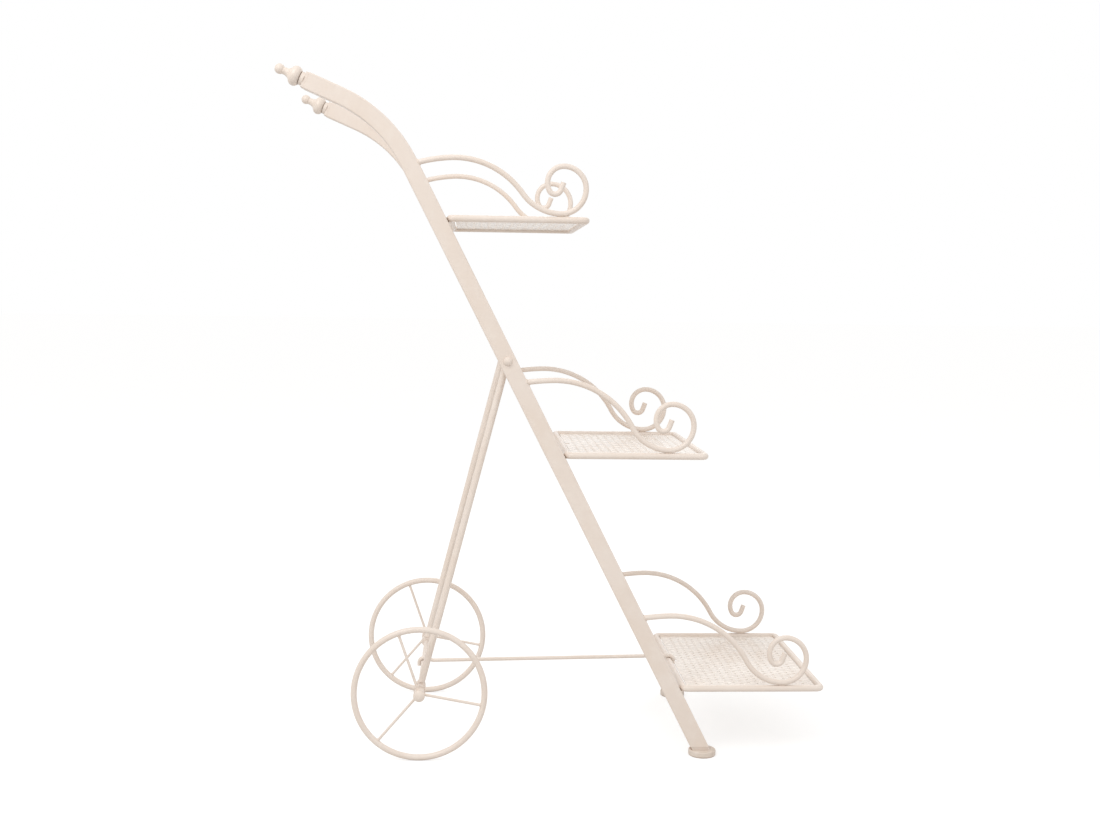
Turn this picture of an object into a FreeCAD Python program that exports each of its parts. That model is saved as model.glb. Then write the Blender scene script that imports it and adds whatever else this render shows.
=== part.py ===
"""Three-tier flower cart stand in painted steel tube and rod.

Two leaning rails of flat-sided tube end in curved handles and stand on round feet. Three wire shelves
project forward from them, each held up by a pair of scrolls. Two wheels on a hinged
pair of legs carry the back, and a hooked stay keeps the legs open.

Millimetres. X runs forward, Y to the left and Z up. The origin is on the floor in the
middle of the footprint. Pieces on the left are drawn, and those on the right mirrored.
"""
import FreeCAD, Part
import math
import os
from FreeCAD import Vector

os.makedirs("parts", exist_ok=True)

# Rails and handles
RAIL_WIDTH = 28.0            # of the tube's flat outer side
RAIL_DEPTH = 20.0            # across the cart
RAIL_WALL = 1.5
RAIL_CORNER = 2.5            # outer radius of the tube's four corners
RAIL_Y = 171.0               # centre plane of a rail
RAIL_TILT = 27.1             # degrees back from upright
RAIL_FLOOR_X = 254.6         # where the rail's centreline would meet the floor
HANDLE_CORNER_Z = 1044.4     # height where the lines of rail and handle cross
HANDLE_RISE = 23.0           # degrees above level
HANDLE_REACH = 136.0         # from that corner to the end of the tube
HANDLE_BEND = 220.0          # bend radius at the corner

# Plugs and finials on the handles, measured along the handle from the tube's end
PLUG_DEPTH = 16.0
PLUG_FACE = 5.0
PLUG_INSET = 0.8             # of the plug's head and the foot's collar within the tube's outline
STUD_RADIUS = 4.0
COLLAR_END = 11.0
COLLAR_RADIUS = 11.0
GROOVE_RADIUS = 9.0
BELL_FOOT = (12.3, 12.0)     # each as (distance, radius)
BELL_CROWN = (17.8, 16.0)
BELL_MOUTH = (28.0, 11.0)
NECK_MIDDLE = (31.0, 8.0)
NECK_END = (38.0, 6.0)
BALL_CENTRE = 46.3
BALL_RADIUS = 8.3

# Feet: a disc, a collar under the tube and a stem inside it
FOOT_X = 252.1
FOOT_RADIUS = 22.8
DISC_HEIGHT = 10.0
DISC_EDGE = 2.0              # rounding of the disc's edges
FOOT_COLLAR = 5.5
FOOT_STEM = 25.0

# Shelves: height of the rod's centre, depth between the rods' centres, and how far
# the scroll's lowest point lies behind the front rod
ROD_RADIUS = 5.5
SHELF_Y = 176.0              # centre plane of a shelf's side rod and of the scrolls
SHELF_CORNER = 8.5
SHELVES = {
    "top": {"z": 885.7, "depth": 219.5, "scroll_back": 41.5},
    "middle": {"z": 504.0, "depth": 227.5, "scroll_back": 61.0},
    "bottom": {"z": 114.5, "depth": 232.5, "scroll_back": 66.5},
}

# Shelf panels: punched sheet inside each frame
PANEL_THICK = 1.2
PANEL_GAP = 2.0              # to the front and back rods
HOLE_RADIUS = 2.5
HOLE_PITCH = 15.0
HOLE_MARGIN = 14.0
NOTCH_HALF = 5.5             # room for the stay's loop round the back rod
NOTCH_DEPTH = 7.0
NOTCH_CORNER = 1.5

# Scrolls: tangent arcs as (radius, degrees), from the lowest point outwards
SCROLL_RADIUS = 4.5
SCROLL_TIP = 13.0            # straight end of the curl
CURL = [(40.0, 90.0), (36.0, 90.0), (26.5, 120.0), (10.0, 130.0)]
LONG_SWEEP = {"bowl": (69.4, 61.9), "crest": (144.4, 64.0), "lead": (400.0, 7.0)}
SHORT_SWEEP = {"bowl": (77.0, 53.9), "crest": (134.0, 57.7), "lead": (248.0, 15.0)}

# Rear legs, hinged on bolts through the rails
PIVOT_Z = 657.4
BOLT_RADIUS = 4.0
BOLT_HEAD_RADIUS = 7.3
BOLT_HEAD_HEIGHT = 5.0
BOLT_HEAD_EDGE = 1.0         # height of the head's straight side
BOLT_PAST_NUT = 2.0
NUT_ACROSS_FLATS = 13.0
NUT_HEIGHT = 7.0
LEG_Y = 150.0
LEG_RADIUS = 5.8
EYE_RADIUS = 9.0
EYE_HALF_WIDTH = 5.8
SPACER_RADIUS = 8.0

# Wheels and axle
AXLE_X = -220.7
AXLE_RADIUS = 4.0
WHEEL_Y = 193.5
RIM_RADIUS = 106.7           # centreline of the ring
RIM_ROD = 5.0
SPOKE_RADIUS = 2.25
SPOKES = 3
SPOKE_PHASE = 109.2          # degrees from forward, turning up and back
HUB_RADIUS = 8.5
HUB_FLANGE = 9.5
HUB_FLANGE_WIDTH = 3.0
HUB_HALF_WIDTH = 13.0
CAP_HEIGHT = 5.5
CAP_EDGE = 2.0               # height of the cap's straight side
CAP_CROWN = 1.4              # thickness of the cap past the axle's end
SLEEVE_RADIUS = 6.0

# Stay from the bottom shelf's back rod to the axle
STAY_RADIUS = 3.2
STAY_KNEE = (17.5, 3.4)      # forward of and above the axle, where the hook rises
KNEE_BEND = 12.0
HOOK_EASE = 0.4              # radial play of the hook on the axle
HOOK_DROP = 6.0              # length of the tip below the axle's centre
LOOP_SWEEP = 265.0

RUNNING = 0.08               # radial clearance of a turning fit
STATIC = 0.05                # radial clearance of a fixed fit
CHAMFER = 1.0
FACE_GAP = 0.15              # between faces that slide past each other

AXLE_Z = RIM_RADIUS + RIM_ROD


# Geometry helpers, all in a plane of constant Y

def rail_x(z):
    """X of the rail's centreline at a height, below the bend."""
    return RAIL_FLOOR_X - z * math.tan(math.radians(RAIL_TILT))


def direction(angle):
    """Unit vector at an angle in degrees from forward, turning up."""
    return Vector(math.cos(math.radians(angle)), 0, math.sin(math.radians(angle)))


def arc_chain(start, heading, arcs):
    """Edges of tangent arcs from a point. A negative radius turns down, not up."""
    edges = []
    here = start
    for radius, sweep in arcs:
        turn = math.copysign(sweep, radius)
        centre = here + direction(heading + 90) * radius
        spoke = heading - 90
        middle = centre + direction(spoke + turn / 2) * radius
        end = centre + direction(spoke + turn) * radius
        edges.append(Part.Arc(here, middle, end).toShape())
        here = end
        heading += turn
    return edges, here, direction(heading)


def rounded_path(points, radii):
    """Wire through corner points, with the inner corners rounded to the radii."""
    edges = []
    here = points[0]
    for before, corner, after, radius in zip(points, points[1:], points[2:], radii):
        back = (before - corner).normalize()
        ahead = (after - corner).normalize()
        half = back.getAngle(ahead) / 2
        reach = radius / math.tan(half)
        inwards = (back + ahead).normalize()
        middle = corner + inwards * (radius / math.sin(half) - radius)
        edges.append(Part.LineSegment(here, corner + back * reach).toShape())
        edges.append(Part.Arc(corner + back * reach, middle, corner + ahead * reach).toShape())
        here = corner + ahead * reach
    edges.append(Part.LineSegment(here, points[-1]).toShape())
    return Part.Wire(edges)


def path_start(path):
    """First point of a wire, and its direction there."""
    first = path.OrderedEdges[0]
    parameter = first.FirstParameter
    if (path.OrderedVertexes[0].Point - first.valueAt(parameter)).Length > 1e-6:
        parameter = first.LastParameter
    return first.valueAt(parameter), first.tangentAt(parameter)


def rod_along(path, radius):
    """Solid of round section that follows a wire."""
    start, tangent = path_start(path)
    ring = Part.Wire(Part.Circle(start, tangent, radius).toShape())
    return path.makePipeShell([ring], True, False)


def tangent_point(centre, radius, outside, side):
    """Where a line from a point touches a circle. Side is +1 or -1."""
    reach = outside - centre
    spread = math.degrees(math.acos(radius / reach.Length))
    bearing = math.degrees(math.atan2(reach.z, reach.x))
    return centre + direction(bearing + side * spread) * radius


def dome(start, radius, top):
    """Arc of a round end, centred on the axis, from an edge up to the axis at the top."""
    centre = (top ** 2 - start ** 2 - radius ** 2) / (2 * (top - start))
    reach = top - centre
    half = math.atan2(radius, start - centre) / 2
    return [(start, radius), (centre + reach * math.cos(half), reach * math.sin(half)), (top, 0)]


def turned(outline, base, axis):
    """Solid of revolution from (distance along axis, radius) points and arcs.

    A bare pair is a corner, and three pairs in a list are an arc's ends and middle.
    """
    edges = []
    last = None
    for item in outline:
        if isinstance(item, list):
            first, middle, end = [Vector(s, 0, r) for s, r in item]
            if last is not None and (first - last).Length > 1e-6:
                edges.append(Part.LineSegment(last, first).toShape())
            edges.append(Part.Arc(first, middle, end).toShape())
            last = end
        else:
            point = Vector(item[0], 0, item[1])
            if last is not None:
                edges.append(Part.LineSegment(last, point).toShape())
            last = point
    edges.append(Part.LineSegment(last, edges[0].valueAt(edges[0].FirstParameter)).toShape())
    face = Part.Face(Part.Wire(edges))
    solid = face.revolve(Vector(0, 0, 0), Vector(1, 0, 0), 360)
    turn = FreeCAD.Rotation(Vector(1, 0, 0), axis)
    solid.Placement = FreeCAD.Placement(base, turn)
    return Part.Solid(solid.Shells[0]) if solid.ShapeType != "Solid" else solid


def bar(centre_x, centre_z, y_from, y_to, radius):
    """Cylinder that lies across the cart."""
    start = Vector(centre_x, y_from, centre_z)
    return Part.makeCylinder(radius, y_to - y_from, start, Vector(0, 1, 0))


def mirrored(shape):
    """The same piece on the right-hand side."""
    return shape.mirror(Vector(0, 0, 0), Vector(0, 1, 0))


def export(name, solids):
    """Write one node, and say its volume and whether it is sound."""
    shape = solids[0] if len(solids) == 1 else Part.makeCompound(solids)
    shape.exportStep("parts/" + name + ".step")
    sound = all(s.isValid() and s.Volume > 0 for s in shape.Solids)
    print(name, len(shape.Solids), "solids", round(shape.Volume, 1), "mm3", "sound" if sound else "BAD")


def export_pair(name, solid):
    """Write a left-hand piece and its mirror image as two nodes."""
    export(name + "_left", [solid])
    export(name + "_right", [mirrored(solid)])


# Rails

def rail_path():
    """Centreline of the left rail, from just under its end to the handle's end."""
    foot = Vector(rail_x(0), RAIL_Y, 0)
    corner = Vector(rail_x(HANDLE_CORNER_Z), RAIL_Y, HANDLE_CORNER_Z)
    handle_end = corner + direction(180 - HANDLE_RISE) * HANDLE_REACH
    return rounded_path([foot, corner, handle_end], [HANDLE_BEND]), handle_end


RAIL_PATH, HANDLE_END = rail_path()
HANDLE_AXIS = direction(180 - HANDLE_RISE)
RAIL_OUTER_Y = RAIL_Y + RAIL_DEPTH / 2
RAIL_INNER_Y = RAIL_Y - RAIL_DEPTH / 2
FOOT_TOP = DISC_HEIGHT + FOOT_COLLAR
PIVOT_X = rail_x(PIVOT_Z)


def along_rail(inset):
    """Solid that follows the rail, with the tube's outline drawn in by an inset."""
    start, tangent = path_start(RAIL_PATH)
    across = Vector(0, RAIL_DEPTH / 2 - inset, 0)
    ahead = tangent.cross(Vector(0, 1, 0)).normalize() * (RAIL_WIDTH / 2 - inset)
    outline = [
        start + ahead * a + across * b for a, b in ((1, 0), (1, 1), (-1, 1), (-1, -1), (1, -1), (1, 0))
    ]
    ring = rounded_path(outline, [RAIL_CORNER - inset] * 4)
    return RAIL_PATH.makePipeShell([ring], True, False)


def level_slab(low, high):
    """Box between two heights, round the rail's lower end."""
    size = 8 * RAIL_WIDTH
    slab = Part.makeBox(size, size, high - low)
    slab.translate(Vector(FOOT_X - size / 2, RAIL_Y - size / 2, low))
    return slab


def handle_slab(low, high):
    """Disc between two distances along the handle from the tube's end."""
    return Part.makeCylinder(2 * RAIL_WIDTH, high - low, HANDLE_END + HANDLE_AXIS * low, HANDLE_AXIS)


RAIL_OUTSIDE = along_rail(0)


def rail():
    """Steel tube cut level above the foot, drilled for the pivot bolt."""
    tube = RAIL_OUTSIDE.cut(along_rail(RAIL_WALL)).cut(level_slab(-RAIL_WIDTH, FOOT_TOP))
    return tube.cut(bar(PIVOT_X, PIVOT_Z, 0, 2 * RAIL_Y, BOLT_RADIUS + STATIC))


def end_plug():
    """Plug pressed into the handle's end, bored for the finial's stud."""
    inside = along_rail(RAIL_WALL + STATIC).common(handle_slab(-PLUG_DEPTH, 0))
    ends = along_rail(PLUG_INSET).Faces
    outline = min(ends, key=lambda face: (face.CenterOfMass - HANDLE_END).Length)
    head = outline.extrude(HANDLE_AXIS * PLUG_FACE)
    start = HANDLE_END - HANDLE_AXIS * PLUG_DEPTH
    bore = Part.makeCylinder(STUD_RADIUS + STATIC, PLUG_DEPTH + PLUG_FACE, start, HANDLE_AXIS)
    return inside.fuse(head).cut(bore).removeSplitter()


def finial():
    """Cast finial: stud, collar, bell, neck and ball."""
    neck_radius = NECK_END[1]
    ball_start = BALL_CENTRE - math.sqrt(BALL_RADIUS ** 2 - neck_radius ** 2)
    stud_end = CHAMFER - PLUG_DEPTH
    outline = [
        (stud_end, 0), (stud_end, STUD_RADIUS), (PLUG_FACE, STUD_RADIUS),
        (PLUG_FACE, COLLAR_RADIUS), (COLLAR_END, COLLAR_RADIUS),
        (COLLAR_END, GROOVE_RADIUS), (BELL_FOOT[0], GROOVE_RADIUS),
        [BELL_FOOT, BELL_CROWN, BELL_MOUTH], [BELL_MOUTH, NECK_MIDDLE, NECK_END],
        dome(ball_start, neck_radius, BALL_CENTRE + BALL_RADIUS),
    ]
    return turned(outline, HANDLE_END, HANDLE_AXIS)


# Feet

def foot():
    """Moulded foot: a disc with rounded edges, a collar and a stem up inside the tube."""
    side = FOOT_RADIUS - DISC_EDGE
    bulge = DISC_EDGE * math.sqrt(0.5)
    low, high = DISC_EDGE, DISC_HEIGHT - DISC_EDGE
    outline = [
        (0, 0), [(0, side), (low - bulge, side + bulge), (low, FOOT_RADIUS)],
        [(high, FOOT_RADIUS), (high + bulge, side + bulge), (DISC_HEIGHT, side)], (DISC_HEIGHT, 0),
    ]
    disc = turned(outline, Vector(FOOT_X, RAIL_Y, 0), Vector(0, 0, 1))
    collar = along_rail(PLUG_INSET).common(level_slab(DISC_HEIGHT - DISC_EDGE, FOOT_TOP))
    stem = along_rail(RAIL_WALL + STATIC).common(level_slab(FOOT_TOP - CHAMFER, FOOT_TOP + FOOT_STEM))
    return disc.fuse(collar).fuse(stem).removeSplitter()


# Shelves

def shelf_back_x(z):
    """Centre of the back rod, which lies against the front of the rails."""
    return rail_x(z) + (RAIL_WIDTH / 2 + ROD_RADIUS) / math.cos(math.radians(RAIL_TILT))


def shelf_frame(z, depth):
    """Rod bent to a closed loop, welded across the front of the rails."""
    back = shelf_back_x(z)
    corners = [(back, 0), (back, SHELF_Y), (back + depth, SHELF_Y), (back + depth, -SHELF_Y),
               (back, -SHELF_Y), (back, 0)]
    path = rounded_path([Vector(x, y, z) for x, y in corners], [SHELF_CORNER] * 4)
    return rod_along(path, ROD_RADIUS)


def shelf_panel(z, depth):
    """Punched sheet between the side rods, notched behind for the stay's loop."""
    back = shelf_back_x(z) + ROD_RADIUS + PANEL_GAP
    front = shelf_back_x(z) + depth - ROD_RADIUS - PANEL_GAP
    half = SHELF_Y - ROD_RADIUS
    level = z - PANEL_THICK / 2
    notch = back + NOTCH_DEPTH
    outline = [
        (back, -half / 2), (back, -half), (front, -half), (front, half), (back, half),
        (back, NOTCH_HALF), (notch, NOTCH_HALF), (notch, -NOTCH_HALF), (back, -NOTCH_HALF),
        (back, -half / 2),
    ]
    corner = SHELF_CORNER - ROD_RADIUS - PANEL_GAP
    wires = [rounded_path([Vector(x, y, level) for x, y in outline], [corner] * 4 + [NOTCH_CORNER] * 4)]
    row_pitch = HOLE_PITCH * math.sin(math.radians(60))
    rows = int((front - back - 2 * HOLE_MARGIN) / row_pitch)
    first_x = (front + back - rows * row_pitch) / 2
    for row in range(rows + 1):
        across = int((half - HOLE_MARGIN) / HOLE_PITCH)
        shift = HOLE_PITCH / 2 if row % 2 else 0
        for column in range(-across, across + 1 - row % 2):
            middle = Vector(first_x + row * row_pitch, column * HOLE_PITCH + shift, level)
            wires.append(Part.Wire(Part.Circle(middle, Vector(0, 0, 1), HOLE_RADIUS).toShape()))
    return Part.makeFace(wires, "Part::FaceMakerBullseye").extrude(Vector(0, 0, PANEL_THICK))


def scroll(shelf, sweep):
    """Rod that leaves the rail, dips to the shelf's side rod and curls up over it."""
    lowest_x = shelf_back_x(shelf["z"]) + shelf["depth"] - shelf["scroll_back"]
    lowest = Vector(lowest_x, SHELF_Y, shelf["z"] + ROD_RADIUS + SCROLL_RADIUS)
    bowl, crest, lead = sweep["bowl"], sweep["crest"], sweep["lead"]
    rear = [(-bowl[0], bowl[1]), crest, lead]
    rear_edges, rear_end, rear_way = arc_chain(lowest, 180, rear)
    curl_edges, curl_end, curl_way = arc_chain(lowest, 0, CURL)
    tail = Part.LineSegment(rear_end, rear_end + rear_way * RAIL_WIDTH).toShape()
    tip = Part.LineSegment(curl_end, curl_end + curl_way * SCROLL_TIP).toShape()
    path = Part.Wire(Part.__sortEdges__([tail] + rear_edges + curl_edges + [tip]))
    rod = rod_along(path, SCROLL_RADIUS).cut(RAIL_OUTSIDE)
    return max(rod.Solids, key=lambda solid: solid.BoundBox.XMax)


# Rear legs and their bolts

LEG_INNER_Y = LEG_Y - EYE_HALF_WIDTH
LEG_OUTER_Y = LEG_Y + EYE_HALF_WIDTH


def rear_leg():
    """Rod with an eye round the pivot bolt and another round the axle."""
    top = Vector(PIVOT_X, LEG_Y, PIVOT_Z)
    bottom = Vector(AXLE_X, LEG_Y, AXLE_Z)
    leg = Part.makeCylinder(LEG_RADIUS, (bottom - top).Length, top, bottom - top)
    leg = leg.fuse(bar(PIVOT_X, PIVOT_Z, LEG_INNER_Y, LEG_OUTER_Y, EYE_RADIUS))
    leg = leg.fuse(bar(AXLE_X, AXLE_Z, LEG_INNER_Y, LEG_OUTER_Y, EYE_RADIUS))
    reach = 2 * EYE_RADIUS
    leg = leg.cut(bar(PIVOT_X, PIVOT_Z, LEG_Y - reach, LEG_Y + reach, BOLT_RADIUS + RUNNING))
    return leg.cut(bar(AXLE_X, AXLE_Z, LEG_Y - reach, LEG_Y + reach, AXLE_RADIUS + STATIC)).removeSplitter()


def pivot_bolt():
    """Bolt with a domed head that sits on the rail's outer side."""
    shank_end = LEG_INNER_Y - FACE_GAP - NUT_HEIGHT - BOLT_PAST_NUT
    shank = bar(PIVOT_X, PIVOT_Z, shank_end, RAIL_OUTER_Y, BOLT_RADIUS)
    outline = [(0, 0), (0, BOLT_HEAD_RADIUS), dome(BOLT_HEAD_EDGE, BOLT_HEAD_RADIUS, BOLT_HEAD_HEIGHT)]
    head = turned(outline, Vector(PIVOT_X, RAIL_OUTER_Y, PIVOT_Z), Vector(0, 1, 0))
    return head.fuse(shank).removeSplitter()


def pivot_spacer():
    """Ring that keeps the leg's eye off the rail's inner side."""
    start = LEG_OUTER_Y + FACE_GAP
    ring = bar(PIVOT_X, PIVOT_Z, start, RAIL_INNER_Y, SPACER_RADIUS)
    return ring.cut(bar(PIVOT_X, PIVOT_Z, start, RAIL_INNER_Y, BOLT_RADIUS + STATIC))


def pivot_nut():
    """Hexagon lock nut on the inner end of the bolt."""
    top = LEG_INNER_Y - FACE_GAP
    corner_radius = NUT_ACROSS_FLATS / math.sqrt(3)
    corners = [
        Vector(PIVOT_X, top - NUT_HEIGHT, PIVOT_Z) + direction(60 * k) * corner_radius for k in range(7)
    ]
    hexagon = Part.Face(Part.makePolygon(corners)).extrude(Vector(0, NUT_HEIGHT, 0))
    return hexagon.cut(bar(PIVOT_X, PIVOT_Z, 0, RAIL_Y, BOLT_RADIUS + STATIC))


# Axle and wheels

HUB_INNER_Y = WHEEL_Y - HUB_HALF_WIDTH
HUB_OUTER_Y = WHEEL_Y + HUB_HALF_WIDTH


def axle():
    """Straight rod from cap to cap."""
    end = HUB_OUTER_Y + CAP_HEIGHT - CAP_CROWN - STATIC
    return bar(AXLE_X, AXLE_Z, -end, end, AXLE_RADIUS)


def axle_sleeve():
    """Tube between the leg's eye and the wheel's hub."""
    start, end = LEG_OUTER_Y, HUB_INNER_Y - FACE_GAP
    tube = bar(AXLE_X, AXLE_Z, start, end, SLEEVE_RADIUS)
    return tube.cut(bar(AXLE_X, AXLE_Z, start, end, AXLE_RADIUS + STATIC))


def hub_cap():
    """Domed cap pressed on the end of the axle."""
    bore, depth = AXLE_RADIUS + STATIC, CAP_HEIGHT - CAP_CROWN
    outline = [
        (FACE_GAP, bore), (FACE_GAP, HUB_FLANGE), dome(CAP_EDGE, HUB_FLANGE, CAP_HEIGHT),
        (depth, 0), (depth, bore),
    ]
    return turned(outline, Vector(AXLE_X, HUB_OUTER_Y, AXLE_Z), Vector(0, 1, 0))


def wheel_hub():
    """Barrel with a flange at each end."""
    bore = AXLE_RADIUS + RUNNING
    width = 2 * HUB_HALF_WIDTH
    near, far = HUB_FLANGE_WIDTH, width - HUB_FLANGE_WIDTH
    outline = [
        (0, bore), (0, HUB_FLANGE), (near, HUB_FLANGE), (near, HUB_RADIUS),
        (far, HUB_RADIUS), (far, HUB_FLANGE), (width, HUB_FLANGE), (width, bore),
    ]
    return turned(outline, Vector(AXLE_X, HUB_INNER_Y, AXLE_Z), Vector(0, 1, 0))


def wheel_rim():
    """Ring of round rod."""
    return Part.makeTorus(RIM_RADIUS, RIM_ROD, Vector(AXLE_X, WHEEL_Y, AXLE_Z), Vector(0, 1, 0))


def wheel_spokes():
    """Thin rods from the hub to the rim, shaped to both at their ends."""
    centre = Vector(AXLE_X, WHEEL_Y, AXLE_Z)
    rim = wheel_rim()
    hub = bar(AXLE_X, AXLE_Z, HUB_INNER_Y, HUB_OUTER_Y, HUB_RADIUS)
    spokes = []
    for k in range(SPOKES):
        way = direction(SPOKE_PHASE + k * 360 / SPOKES)
        spoke = Part.makeCylinder(SPOKE_RADIUS, RIM_RADIUS, centre, way)
        spokes.append(spoke.cut(rim).cut(hub).Solids[0])
    return spokes


# Stay

def stay_rod():
    """Rod looped round the bottom shelf's back rod and hooked over the axle."""
    shelf_z = SHELVES["bottom"]["z"]
    back_rod = Vector(shelf_back_x(shelf_z), 0, shelf_z)
    axle_centre = Vector(AXLE_X, 0, AXLE_Z)
    loop = ROD_RADIUS + RUNNING + STAY_RADIUS
    hook = AXLE_RADIUS + HOOK_EASE + STAY_RADIUS
    knee = axle_centre + Vector(STAY_KNEE[0], 0, STAY_KNEE[1])
    loop_start = tangent_point(back_rod, loop, knee, -1)
    hook_start = tangent_point(axle_centre, hook, knee, 1)
    rise = (hook_start - knee).normalize()
    over = hook_start + rise * ((axle_centre.x - hook - hook_start.x) / rise.x)
    tip = Vector(over.x, 0, axle_centre.z - HOOK_DROP)
    path = rounded_path([loop_start, knee, over, tip], [KNEE_BEND, hook])
    arrival = loop_start - knee
    heading = math.degrees(math.atan2(arrival.z, arrival.x))
    loop_edges = arc_chain(loop_start, heading, [(-loop, LOOP_SWEEP)])[0]
    wire = Part.Wire(Part.__sortEdges__(loop_edges + path.Edges))
    return rod_along(wire, STAY_RADIUS)


export_pair("rail", rail())
export_pair("end_plug", end_plug())
export_pair("finial", finial())
export_pair("foot", foot())
for tier, shelf in SHELVES.items():
    export("shelf_frame_" + tier, [shelf_frame(shelf["z"], shelf["depth"])])
    export("shelf_panel_" + tier, [shelf_panel(shelf["z"], shelf["depth"])])
    export_pair("scroll_" + tier, scroll(shelf, SHORT_SWEEP if tier == "top" else LONG_SWEEP))
export_pair("rear_leg", rear_leg())
for name, piece in (("pivot_bolts", pivot_bolt()), ("pivot_spacers", pivot_spacer()),
                    ("pivot_nuts", pivot_nut()), ("axle_sleeves", axle_sleeve()),
                    ("hub_caps", hub_cap())):
    export(name, [piece, mirrored(piece)])
export("axle", [axle()])
export_pair("wheel_hub", wheel_hub())
export_pair("wheel_rim", wheel_rim())
left_spokes = wheel_spokes()
export("wheel_spokes_left", left_spokes)
export("wheel_spokes_right", [mirrored(spoke) for spoke in left_spokes])
export("stay_rod", [stay_rod()])
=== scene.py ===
"""Looks of the flower cart stand: cream paint on every piece, weld beads, floor, light and camera.

Metres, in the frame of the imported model: X forward, Y to the left, Z up.
"""

import math
import random

import bmesh
import bpy
from mathutils import Matrix, Vector, noise


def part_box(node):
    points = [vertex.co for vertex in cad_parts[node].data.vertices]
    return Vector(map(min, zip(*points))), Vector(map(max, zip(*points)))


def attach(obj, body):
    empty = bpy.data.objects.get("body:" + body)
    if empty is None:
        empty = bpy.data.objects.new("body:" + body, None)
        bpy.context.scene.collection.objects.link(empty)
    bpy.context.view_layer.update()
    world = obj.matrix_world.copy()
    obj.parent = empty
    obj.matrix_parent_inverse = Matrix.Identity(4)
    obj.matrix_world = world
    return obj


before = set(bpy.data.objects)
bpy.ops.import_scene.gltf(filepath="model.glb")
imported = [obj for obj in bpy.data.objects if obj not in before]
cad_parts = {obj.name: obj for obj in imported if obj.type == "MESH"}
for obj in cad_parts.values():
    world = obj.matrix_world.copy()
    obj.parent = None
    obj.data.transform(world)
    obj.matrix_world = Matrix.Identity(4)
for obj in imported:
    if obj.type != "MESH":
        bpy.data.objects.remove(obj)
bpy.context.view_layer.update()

SIDES = {"left": 1, "right": -1}
TIERS = ("top", "middle", "bottom")
ACROSS = Vector((0, 1, 0))   # the way that rods, bolts and the axle run across the cart

# Camera: fitted to the photograph, whose frame is 1100 pixels wide
PHOTO_WIDTH = 1100
FOCAL_PIXELS = 1360.8
SENSOR_WIDTH = 36.0          # millimetres
CAMERA_AT = Vector((-0.1392, -2.3823, 0.7644))
CAMERA_YAW = 3.30            # degrees from +Y towards +X
CAMERA_PITCH = 4.89          # degrees down
CAMERA_ROLL = 0.83           # degrees, the camera's right side raised

# Metalwork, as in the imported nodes
RAIL_TILT = math.radians(27.1)
RAIL_WAY = Vector((-math.sin(RAIL_TILT), 0, math.cos(RAIL_TILT)))     # up along a rail
RAIL_FRONT = Vector((math.cos(RAIL_TILT), 0, math.sin(RAIL_TILT)))    # square out of its front
ROD_RADIUS = 0.0055          # of the shelf frames
LEG_RADIUS = 0.0058
EYE_RADIUS = 0.009
HUB_RADIUS = 0.0085
RIM_RADIUS = 0.1067          # centreline of the ring
RIM_ROD = 0.005
SPOKES = 3
SPOKE_RADIUS = 0.00225
SPOKE_PHASE = math.radians(109.2)

# Weld beads: their radii and where they lie
SCROLL_BEAD = 0.0013         # round a scroll's end on the rail
SCROLL_END_BAND = 0.0002     # the end's vertices lie this close to the rail's front
REST_BEAD = 0.0009           # beside the line where a scroll rests on the side rod
REST_BAND = 0.00008          # the lowest vertices of a scroll lie within this height
REST_BEAD_BACK = 0.006       # its reach behind and in front of the scroll's lowest point
REST_BEAD_FRONT = 0.005
REST_BEAD_SHIFT = 0.0010     # to either side of that line
FRAME_BEAD = 0.0017          # above and below the back rod on the rail
FRAME_BEAD_REACH = 0.0088    # inwards from the middle line of the rail's front
FRAME_BEAD_LIFT = 0.0005     # out of the rail's front
FRAME_BEAD_RISE = 0.0030     # above and below the rod's centre
TACK_BEAD = 0.0011           # along the panel's sides
TACK_PLACES = (0.08, 0.36, 0.64, 0.92)
TACK_INSET = 0.0004
TACK_HALF_LENGTH = 0.004
LEG_BEAD = 0.0013            # round a leg at its eyes
LEG_RING_POINTS = 26
HUB_BEAD = 0.0010            # round a spoke at the hub
RIM_BEAD = 0.0011            # round a spoke at the rim
RIM_BEAD_SINK = 0.0002       # into the rim
SPOKE_RING_POINTS = 14

# Weld beads: how they are made
BEAD_STEP = 0.0007           # between two rings of a bead
LEG_BEAD_STEP = 0.0008
SPOKE_BEAD_STEP = 0.0006
BEAD_SIDES = 10
BEAD_SEED_STEP = 17
RIPPLE = 0.10                # share of the radius
RIPPLE_LENGTH = 0.0022
SWELL = 0.28                 # share of the radius
SWELL_SCALE = 160            # swells per metre
TIP_SQUARED = 0.02           # least squared share of the radius at an open bead's tips

# Colours, linear
CREAM = (0.800, 0.705, 0.630)
CREAM_WARM = (0.770, 0.660, 0.570)
CREAM_PALE = (0.850, 0.775, 0.705)
PLASTIC = (0.755, 0.665, 0.590)
PLASTIC_DARK = (0.715, 0.615, 0.530)
# Dark brown for random dark pits, and for painted shade in joints, hollows and along the feet's
# bottoms
DIRT_AND_SHADE = (0.330, 0.200, 0.125)
PRIMER = (0.520, 0.430, 0.350)
WHITE = (1.0, 1.0, 1.0)

# Floor and light
FLOOR_REACH = 40.0           # from the middle to each edge
FLOOR_SEEN = (0.45, 0.445, 0.44)     # to the camera and in reflections, under the glow
FLOOR_GLOW = 0.65
FLOOR_BOUNCE = (0.70, 0.685, 0.67)   # for the light it throws back at the stand
AMBIENT = 0.775
STAND_MIDDLE = (0.0, 0.0, 0.55)
KEY_TARGET = (0.0, 0.0, 0.70)
SOFTBOXES = {                # place, target, width and power in watts
    "key": ((-1.5, -1.9, 2.9), KEY_TARGET, 1.8, 44.0),
    "fill": ((2.4, -1.8, 1.6), STAND_MIDDLE, 1.8, 9.0),
    "back": ((0.6, 2.6, 2.2), STAND_MIDDLE, 1.6, 12.0),
}


# Shader nodes

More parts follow.
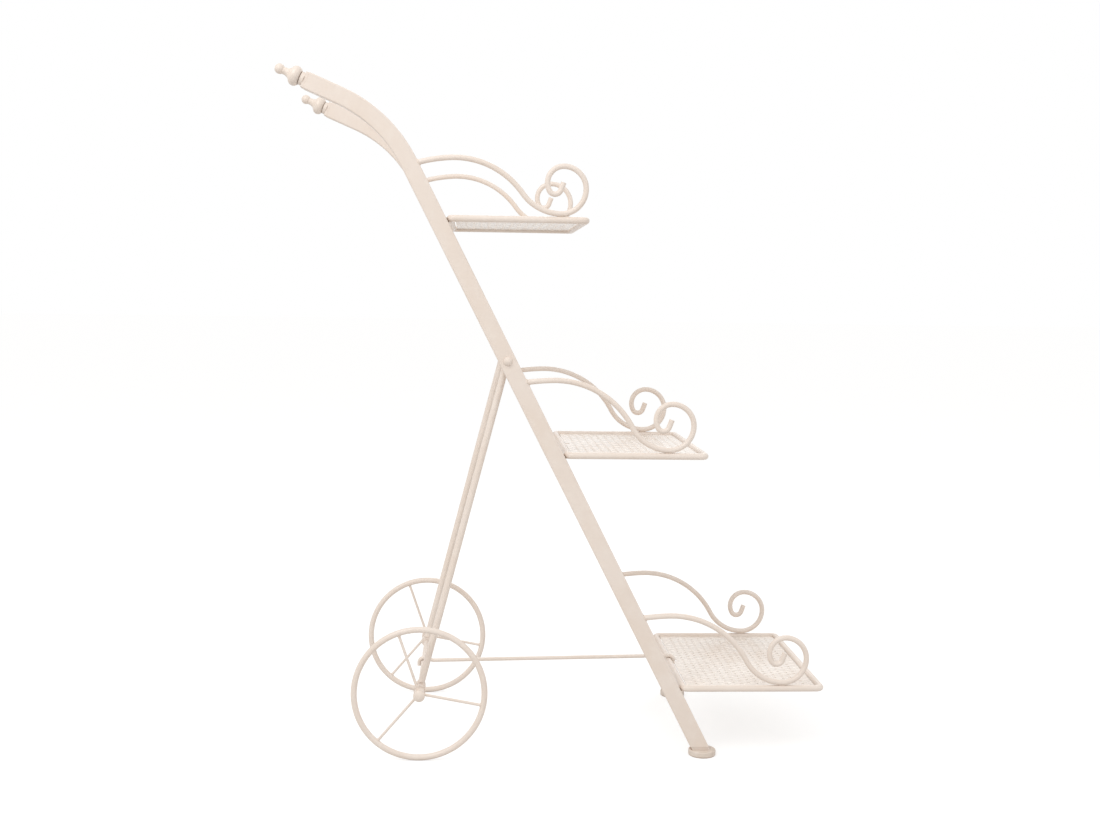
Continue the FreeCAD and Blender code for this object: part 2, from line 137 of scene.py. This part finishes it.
class Shader:
    """Builds one material's node tree with short calls."""

    def __init__(self, name):
        self.material = bpy.data.materials.new(name)
        self.material.use_nodes = True
        self.tree = self.material.node_tree
        self.tree.nodes.clear()
        self.output = self.tree.nodes.new("ShaderNodeOutputMaterial")
        self.coords = self.tree.nodes.new("ShaderNodeTexCoord").outputs["Object"]

    def node(self, kind, settings=None, **inputs):
        """Adds a node. Its inputs go by name, or by place as _0 and _1.

        An input is a number, a tuple or another node's output.
        """
        made = self.tree.nodes.new("ShaderNode" + kind)
        for key, value in (settings or {}).items():
            setattr(made, key, value)
        for key, value in inputs.items():
            socket = made.inputs[int(key[1:]) if key[1:].isdigit() else key.replace("_", " ")]
            if isinstance(value, bpy.types.NodeSocket):
                self.tree.links.new(value, socket)
            elif isinstance(value, tuple) and socket.type == "RGBA":
                socket.default_value = (*value, 1.0)
            else:
                socket.default_value = value
        return made

    def noise(self, scale, detail=2.0, roughness=0.5):
        """Noise with features about 1/scale metres across, in the piece's own coordinates."""
        made = self.node(
            "TexNoise", Vector=self.coords, Scale=scale, Detail=detail, Roughness=roughness,
        )
        return made.outputs["Fac"]

    def ramp(self, value, low, high, low_out=0.0, high_out=1.0):
        """Smooth step of a value between two levels."""
        made = self.node(
            "MapRange", {"interpolation_type": "SMOOTHSTEP"}, Value=value,
            From_Min=low, From_Max=high, To_Min=low_out, To_Max=high_out,
        )
        return made.outputs["Result"]

    def maths(self, operation, first, second=0.0):
        return self.node("Math", {"operation": operation}, _0=first, _1=second).outputs[0]

    def mix(self, factor, first, second):
        """Blend of two colours."""
        made = self.node("Mix", {"data_type": "RGBA"}, _0=factor, _6=first, _7=second)
        return made.outputs[2]

    def bump(self, height, distance, strength, normal=None):
        made = self.node("Bump", Height=height, Distance=distance, Strength=strength)
        if normal is not None:
            self.tree.links.new(normal, made.inputs["Normal"])
        return made.outputs["Normal"]

    def edges(self, radius):
        """1 on sharp edges, 0 on flats and gentle curves."""
        rounded = self.node("Bevel", {"samples": 6}, Radius=radius).outputs["Normal"]
        true = self.node("NewGeometry").outputs["Normal"]
        facing = self.node("VectorMath", {"operation": "DOT_PRODUCT"}, _0=rounded, _1=true)
        return self.ramp(self.maths("SUBTRACT", 1.0, facing.outputs["Value"]), low=0.02, high=0.16)

    def hollows(self, distance):
        """1 deep in corners and joints, 0 in the open."""
        open_share = self.node("AmbientOcclusion", {"samples": 8}, Distance=distance).outputs["AO"]
        return self.ramp(open_share, low=0.75, high=0.15)

    def surface(self, shader):
        self.tree.links.new(shader, self.output.inputs["Surface"])
        return self.material


def paint(
    name, colour=CREAM, roughness=0.38, peel=0.10, lumps=0.10, wear=0.5, shade_strength=0.3, reach=0.005,
):
    """Powder coat: drifting tint, orange peel, worn edges and painted shade in the joints."""
    s = Shader(name)
    drift = s.ramp(s.noise(scale=11.0, detail=3.0), low=0.32, high=0.70, high_out=0.7)
    tint = s.mix(drift, colour, CREAM_WARM)
    clouds = s.noise(scale=47.0, detail=4.0, roughness=0.6)
    tint = s.mix(s.ramp(clouds, low=0.45, high=0.75, high_out=0.35), tint, CREAM_PALE)
    pits = s.ramp(s.noise(scale=520.0), low=0.70, high=0.78, high_out=0.25)
    tint = s.mix(pits, tint, DIRT_AND_SHADE)

    edges = s.edges(radius=0.0009)
    patches = s.noise(scale=230.0, detail=5.0, roughness=0.65)
    chips = s.maths("MULTIPLY", edges, s.ramp(patches, low=0.46, high=0.60, high_out=wear))
    tint = s.mix(chips, tint, PRIMER)
    # Painted shade: darker in corners and joints, where the occlusion mask finds hollows, in patches
    hollows = s.hollows(reach)
    patches = s.ramp(s.noise(scale=130.0, detail=3.0), low=0.25, high=0.65, low_out=0.45)
    painted_shade = s.maths("MULTIPLY", s.maths("MULTIPLY", hollows, patches), shade_strength)
    tint = s.mix(painted_shade, tint, DIRT_AND_SHADE)

    gloss = s.ramp(
        s.noise(scale=85.0, detail=3.0), low=0.3, high=0.7,
        low_out=roughness - 0.07, high_out=roughness + 0.09,
    )
    chip_roughness = 0.8
    gloss = s.maths("MAXIMUM", gloss, s.maths("MULTIPLY", chips, chip_roughness))
    normal = s.bump(s.noise(scale=95.0), distance=0.0016, strength=lumps)
    normal = s.bump(s.noise(scale=900.0, detail=1.0), distance=0.00035, strength=peel, normal=normal)
    shader = s.node("BsdfPrincipled", Base_Color=tint, Roughness=gloss, Normal=normal)
    shader.inputs["IOR"].default_value = 1.5
    return s.surface(shader.outputs[0])


def moulded(name):
    """Cream moulded plastic: satin, finely grained, with painted shade in its hollows and along its
    bottom where it stands.
    """
    s = Shader(name)
    drift = s.ramp(s.noise(scale=60.0, detail=3.0), low=0.3, high=0.7)
    tint = s.mix(drift, PLASTIC, PLASTIC_DARK)
    # Painted shade in the hollows
    painted_shade = 0.6
    tint = s.mix(s.maths("MULTIPLY", s.hollows(0.008), painted_shade), tint, DIRT_AND_SHADE)
    # Painted shade: darker towards the bottom, where the foot stands on the floor
    height = s.node("SeparateXYZ", Vector=s.coords).outputs["Z"]
    tint = s.mix(s.ramp(height, low=0.0030, high=0.0002, high_out=0.45), tint, DIRT_AND_SHADE)
    normal = s.bump(s.noise(scale=1400.0), distance=0.0003, strength=0.35)
    shader = s.node("BsdfPrincipled", Base_Color=tint, Roughness=0.55, Normal=normal)
    return s.surface(shader.outputs[0])


MATERIALS = {
    "frame_paint": paint("frame_paint"),
    "panel_paint": paint(
        "panel_paint", CREAM_PALE, roughness=0.24, peel=0.05, lumps=0.08, shade_strength=0.25, reach=0.003,
    ),
    "cast_paint": paint(
        "cast_paint", roughness=0.40, peel=0.08, lumps=0.30, wear=0.7, shade_strength=0.6,
    ),
    "hardware_paint": paint("hardware_paint", lumps=0.04, wear=0.9),
    "wheel_paint": paint("wheel_paint", roughness=0.42, wear=0.8),
    "foot_plastic": moulded("foot_plastic"),
    # The weld beads take the strongest painted shade in their joints
    "weld_paint": paint(
        "weld_paint", CREAM_WARM, roughness=0.46, peel=0.12, lumps=0.35, wear=0.3, shade_strength=1.0,
        reach=0.010,
    ),
}


def dress_frame():
    """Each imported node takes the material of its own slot."""
    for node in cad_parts.values():
        slots = [material.name.split(".")[0] for material in node.data.materials]
        for index, slot in enumerate(slots):
            node.data.materials[index] = MATERIALS[slot]


# Weld beads

def bead_mesh(name, path, radius, closed, seed):
    """Rippled tube along points, as a weld bead lies in a joint."""
    phase = random.Random(seed).uniform(0, math.tau)
    mesh = bmesh.new()
    rings = []
    count = len(path)
    travelled = 0.0
    for i, point in enumerate(path):
        before = path[i - 1] if closed or i else point
        after = path[(i + 1) % count] if closed or i < count - 1 else point
        along = (after - before).normalized()
        travelled += (point - path[i - 1]).length if i else 0.0
        across = along.orthogonal().normalized()
        other = along.cross(across)
        ripple = 1 + RIPPLE * math.sin(math.tau * travelled / RIPPLE_LENGTH + phase)
        swell = 1 + SWELL * noise.noise(point * SWELL_SCALE + Vector((seed, 0, 0)))
        taper = 1.0
        if not closed:
            taper = math.sqrt(max(TIP_SQUARED, 1 - (2 * i / (count - 1) - 1) ** 4))
        size = radius * ripple * swell * taper
        rings.append([
            mesh.verts.new(point + (across * math.cos(a) + other * math.sin(a)) * size)
            for a in (math.tau * k / BEAD_SIDES for k in range(BEAD_SIDES))
        ])

    pairs = list(zip(rings, rings[1:])) + ([(rings[-1], rings[0])] if closed else [])
    for first, second in pairs:
        shift = min(range(BEAD_SIDES), key=lambda k: (first[0].co - second[k].co).length)
        for k in range(BEAD_SIDES):
            a, b = first[k], first[(k + 1) % BEAD_SIDES]
            c, d = second[(k + 1 + shift) % BEAD_SIDES], second[(k + shift) % BEAD_SIDES]
            mesh.faces.new((a, b, c, d))
    if not closed:
        mesh.faces.new(reversed(rings[0]))
        mesh.faces.new(rings[-1])
    bmesh.ops.recalc_face_normals(mesh, faces=mesh.faces)
    data = bpy.data.meshes.new(name)
    mesh.to_mesh(data)
    mesh.free()
    return data


def add_weld(name, body, beads):
    """One piece made of beads, each (points, radius, closed)."""
    joined = bmesh.new()
    for number, (path, radius, closed) in enumerate(beads):
        seed = sum(map(ord, name)) + BEAD_SEED_STEP * number
        data = bead_mesh(name, path, radius, closed, seed)
        joined.from_mesh(data)
        bpy.data.meshes.remove(data)
    data = bpy.data.meshes.new(name)
    joined.to_mesh(data)
    joined.free()
    data.shade_smooth()
    data.materials.append(MATERIALS["weld_paint"])
    piece = bpy.data.objects.new(name, data)
    bpy.context.scene.collection.objects.link(piece)
    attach(piece, body)


def resampled(points, step, closed):
    """Points at even steps along a line of points."""
    line = points + [points[0]] if closed else points
    lengths = [0.0]
    for a, b in zip(line, line[1:]):
        lengths.append(lengths[-1] + (b - a).length)
    total = lengths[-1]
    count = max(4, round(total / step))
    even = []
    part = 0
    for i in range(count if closed else count + 1):
        want = total * i / count
        while part < len(line) - 2 and lengths[part + 1] < want:
            part += 1
        span = lengths[part + 1] - lengths[part]
        even.append(line[part].lerp(line[part + 1], (want - lengths[part]) / span if span else 0.0))
    return even


def bead(points, radius, closed=False, step=BEAD_STEP):
    """One bead of a piece, for add_weld."""
    return resampled(points, step, closed), radius, closed


def rim_points(node, test, sectors=20):
    """The outermost vertices that pass a test, one per sector round their middle."""
    found = [v.co.copy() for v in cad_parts[node].data.vertices if test(v.co)]
    middle = sum(found, Vector()) / len(found)
    spread = [p - middle for p in found]
    reach = max(spread, key=lambda d: d.length)
    second = max(spread, key=lambda d: d.cross(reach).length)
    normal = reach.cross(second).normalized()
    u = reach.normalized()
    v = normal.cross(u)
    best = {}
    for p, d in zip(found, spread):
        angle = math.atan2(d.dot(v), d.dot(u)) % math.tau
        sector = int(angle / math.tau * sectors)
        if sector not in best or d.length > best[sector][0]:
            best[sector] = (d.length, p)
    return [best[k][1] for k in sorted(best)]


def rail_face_point(side):
    """A point on the middle line of a rail's flat front."""
    low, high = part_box("rail_" + side)
    return Vector((high.x, (low.y + high.y) / 2, low.z))


def weld_scroll_to_rail(tier, side):
    """Bead round the scroll's end on the front of the rail."""
    face = rail_face_point(side)
    rim = rim_points(
        f"scroll_{tier}_{side}", lambda p: (p - face).dot(RAIL_FRONT) < SCROLL_END_BAND,
    )
    return [bead(rim, SCROLL_BEAD, closed=True)]


def weld_scroll_to_rod(tier, side):
    """Short beads on both sides of the line where the scroll rests on the side rod."""
    low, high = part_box(f"scroll_{tier}_{side}")
    z = low.z
    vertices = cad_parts[f"scroll_{tier}_{side}"].data.vertices
    bottom = [v.co for v in vertices if v.co.z < z + REST_BAND]
    x = sum(p.x for p in bottom) / len(bottom)
    middle = (low.y + high.y) / 2
    beads = []
    for y in (middle - REST_BEAD_SHIFT, middle + REST_BEAD_SHIFT):
        ends = [Vector((x - REST_BEAD_BACK, y, z)), Vector((x + REST_BEAD_FRONT, y, z))]
        beads.append(bead(ends, REST_BEAD))
    return beads


def weld_frame_to_rail(tier, side):
    """Beads above and below where the back rod lies on the front of the rail."""
    low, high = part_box(f"shelf_frame_{tier}")
    rod = Vector((low.x + ROD_RADIUS, 0, (low.z + high.z) / 2))
    face = rail_face_point(side)
    beads = []
    for up in (-1, 1):
        ends = []
        for inwards in (FRAME_BEAD_REACH, 0.0):
            point = rod - RAIL_FRONT * (ROD_RADIUS - FRAME_BEAD_LIFT) + RAIL_WAY * up * FRAME_BEAD_RISE
            point.y = face.y - SIDES[side] * inwards
            ends.append(point)
        beads.append(bead(ends, FRAME_BEAD))
    return beads


def weld_panel(tier, side):
    """Tack welds where the panel meets the side rod."""
    low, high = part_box(f"shelf_panel_{tier}")
    y = (high.y if side == "left" else low.y) - SIDES[side] * TACK_INSET
    beads = []
    for share in TACK_PLACES:
        x = low.x + (high.x - low.x) * share
        for z in (low.z, high.z):
            ends = [Vector((x - TACK_HALF_LENGTH, y, z)), Vector((x + TACK_HALF_LENGTH, y, z))]
            beads.append(bead(ends, TACK_BEAD))
    return beads


def ring_on_tube(centre, way, radius, tube_radius, count):
    """Points round a rod, where it meets a tube that lies across the cart at the centre."""
    other = way.cross(ACROSS)
    points = []
    for k in range(count):
        angle = math.tau * k / count
        sideways = radius * math.sin(angle)
        along = math.sqrt(tube_radius ** 2 - sideways ** 2)
        points.append(centre + way * along + ACROSS * (radius * math.cos(angle)) + other * sideways)
    return points


def weld_leg(side):
    """Beads where the leg's rod meets its two eyes."""
    low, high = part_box("rear_leg_" + side)
    y = (low.y + high.y) / 2
    top = Vector((high.x - EYE_RADIUS, y, high.z - EYE_RADIUS))
    bottom = Vector((low.x + EYE_RADIUS, y, low.z + EYE_RADIUS))
    way = (bottom - top).normalized()
    beads = []
    for centre, sense in ((top, way), (bottom, -way)):
        ring = ring_on_tube(centre, sense, LEG_RADIUS, EYE_RADIUS, LEG_RING_POINTS)
        beads.append(bead(ring, LEG_BEAD, closed=True, step=LEG_BEAD_STEP))
    return beads


def weld_spokes(side):
    """Beads at both ends of the spokes."""
    low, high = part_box("wheel_rim_" + side)
    centre = (low + high) / 2
    beads = []
    for k in range(SPOKES):
        angle = SPOKE_PHASE + math.tau * k / SPOKES
        way = Vector((math.cos(angle), 0, math.sin(angle)))
        ring = ring_on_tube(centre, way, SPOKE_RADIUS, HUB_RADIUS, SPOKE_RING_POINTS)
        beads.append(bead(ring, HUB_BEAD, closed=True, step=SPOKE_BEAD_STEP))
        foot = centre + way * (RIM_RADIUS - RIM_ROD + RIM_BEAD_SINK)
        other = way.cross(ACROSS)
        ring = [
            foot + ACROSS * math.cos(a) * SPOKE_RADIUS + other * math.sin(a) * SPOKE_RADIUS
            for a in (math.tau * j / SPOKE_RING_POINTS for j in range(SPOKE_RING_POINTS))
        ]
        beads.append(bead(ring, RIM_BEAD, closed=True, step=SPOKE_BEAD_STEP))
    return beads


def add_welds():
    for side in SIDES:
        for tier in TIERS:
            place = f"{tier}_{side}"
            for name, slot, beads in (
                (f"weld_scroll_{place}_rail", "frame_paint", weld_scroll_to_rail(tier, side)),
                (f"weld_scroll_{place}_rod", "frame_paint", weld_scroll_to_rod(tier, side)),
                (f"weld_frame_{place}", "frame_paint", weld_frame_to_rail(tier, side)),
                (f"weld_panel_{place}", "panel_paint", weld_panel(tier, side)),
            ):
                add_weld(name, "cart_frame", beads)
        add_weld("weld_leg_" + side, "leg_frame", weld_leg(side))
        add_weld("weld_spokes_" + side, "wheel_" + side, weld_spokes(side))


# Floor, light and camera

def floor_shader(name):
    """Pale surface that looks white to the camera and in reflections, and still takes shadow."""
    s = Shader(name)
    path = s.node("LightPath").outputs
    seen = s.maths("MAXIMUM", path["Is Camera Ray"], path["Is Glossy Ray"])
    seen = s.maths("MAXIMUM", seen, path["Is Transmission Ray"])
    tint = s.mix(seen, FLOOR_BOUNCE, FLOOR_SEEN)
    diffuse = s.node("BsdfDiffuse", Color=tint).outputs[0]
    strength = s.maths("MULTIPLY", seen, FLOOR_GLOW)
    light = s.node("Emission", Color=WHITE, Strength=strength).outputs[0]
    both = s.node("AddShader", _0=diffuse, _1=light).outputs[0]
    return s.surface(both)


def add_floor():
    reach = FLOOR_REACH
    corners = [(-reach, -reach, 0), (reach, -reach, 0), (reach, reach, 0), (-reach, reach, 0)]
    data = bpy.data.meshes.new("floor")
    data.from_pydata(corners, [], [(0, 1, 2, 3)])
    data.materials.append(floor_shader("floor"))
    floor = bpy.data.objects.new("floor", data)
    bpy.context.scene.collection.objects.link(floor)


def add_world():
    """Even light from all round, which the camera and reflections see as plain white."""
    world = bpy.data.worlds.new("studio")
    bpy.context.scene.world = world
    world.use_nodes = True
    tree = world.node_tree
    tree.nodes.clear()
    path = tree.nodes.new("ShaderNodeLightPath")
    rays = [path.outputs[f"Is {kind} Ray"] for kind in ("Camera", "Glossy", "Transmission")]
    seen = rays[0]
    for ray in rays[1:]:
        either = tree.nodes.new("ShaderNodeMath")
        either.operation = "MAXIMUM"
        tree.links.new(seen, either.inputs[0])
        tree.links.new(ray, either.inputs[1])
        seen = either.outputs[0]
    level = tree.nodes.new("ShaderNodeMapRange")
    tree.links.new(seen, level.inputs["Value"])
    level.inputs["To Min"].default_value = AMBIENT
    level.inputs["To Max"].default_value = 1.0
    background = tree.nodes.new("ShaderNodeBackground")
    tree.links.new(level.outputs[0], background.inputs["Strength"])
    background.inputs["Color"].default_value = (*WHITE, 1.0)
    output = tree.nodes.new("ShaderNodeOutputWorld")
    tree.links.new(background.outputs[0], output.inputs["Surface"])


def add_softbox(name, place, target, width, power):
    data = bpy.data.lights.new(name, "AREA")
    data.shape = "SQUARE"
    data.size = width
    data.energy = power
    light = bpy.data.objects.new(name, data)
    light.location = place
    towards = Vector(target) - Vector(place)
    light.rotation_euler = towards.to_track_quat("-Z", "Y").to_euler()
    bpy.context.scene.collection.objects.link(light)


def add_camera():
    yaw, pitch, roll = (math.radians(a) for a in (CAMERA_YAW, CAMERA_PITCH, CAMERA_ROLL))
    forward = Vector((
        math.sin(yaw) * math.cos(pitch), math.cos(yaw) * math.cos(pitch), -math.sin(pitch),
    ))
    level = Vector((math.cos(yaw), -math.sin(yaw), 0))
    above = level.cross(forward)
    right = level * math.cos(roll) + above * math.sin(roll)
    up = above * math.cos(roll) - level * math.sin(roll)
    data = bpy.data.cameras.new("camera")
    data.sensor_fit = "HORIZONTAL"
    data.sensor_width = SENSOR_WIDTH
    data.lens = SENSOR_WIDTH * FOCAL_PIXELS / PHOTO_WIDTH
    camera = bpy.data.objects.new("camera", data)
    turn = Matrix((right, up, -forward)).transposed()
    camera.matrix_world = Matrix.Translation(CAMERA_AT) @ turn.to_4x4()
    bpy.context.scene.collection.objects.link(camera)
    bpy.context.scene.camera = camera


def add_studio():
    add_world()
    for name, (place, target, width, power) in SOFTBOXES.items():
        add_softbox(name, place, target, width, power)
    add_floor()
    add_camera()
    bpy.context.scene.view_settings.view_transform = "Standard"


dress_frame()
add_welds()
add_studio()
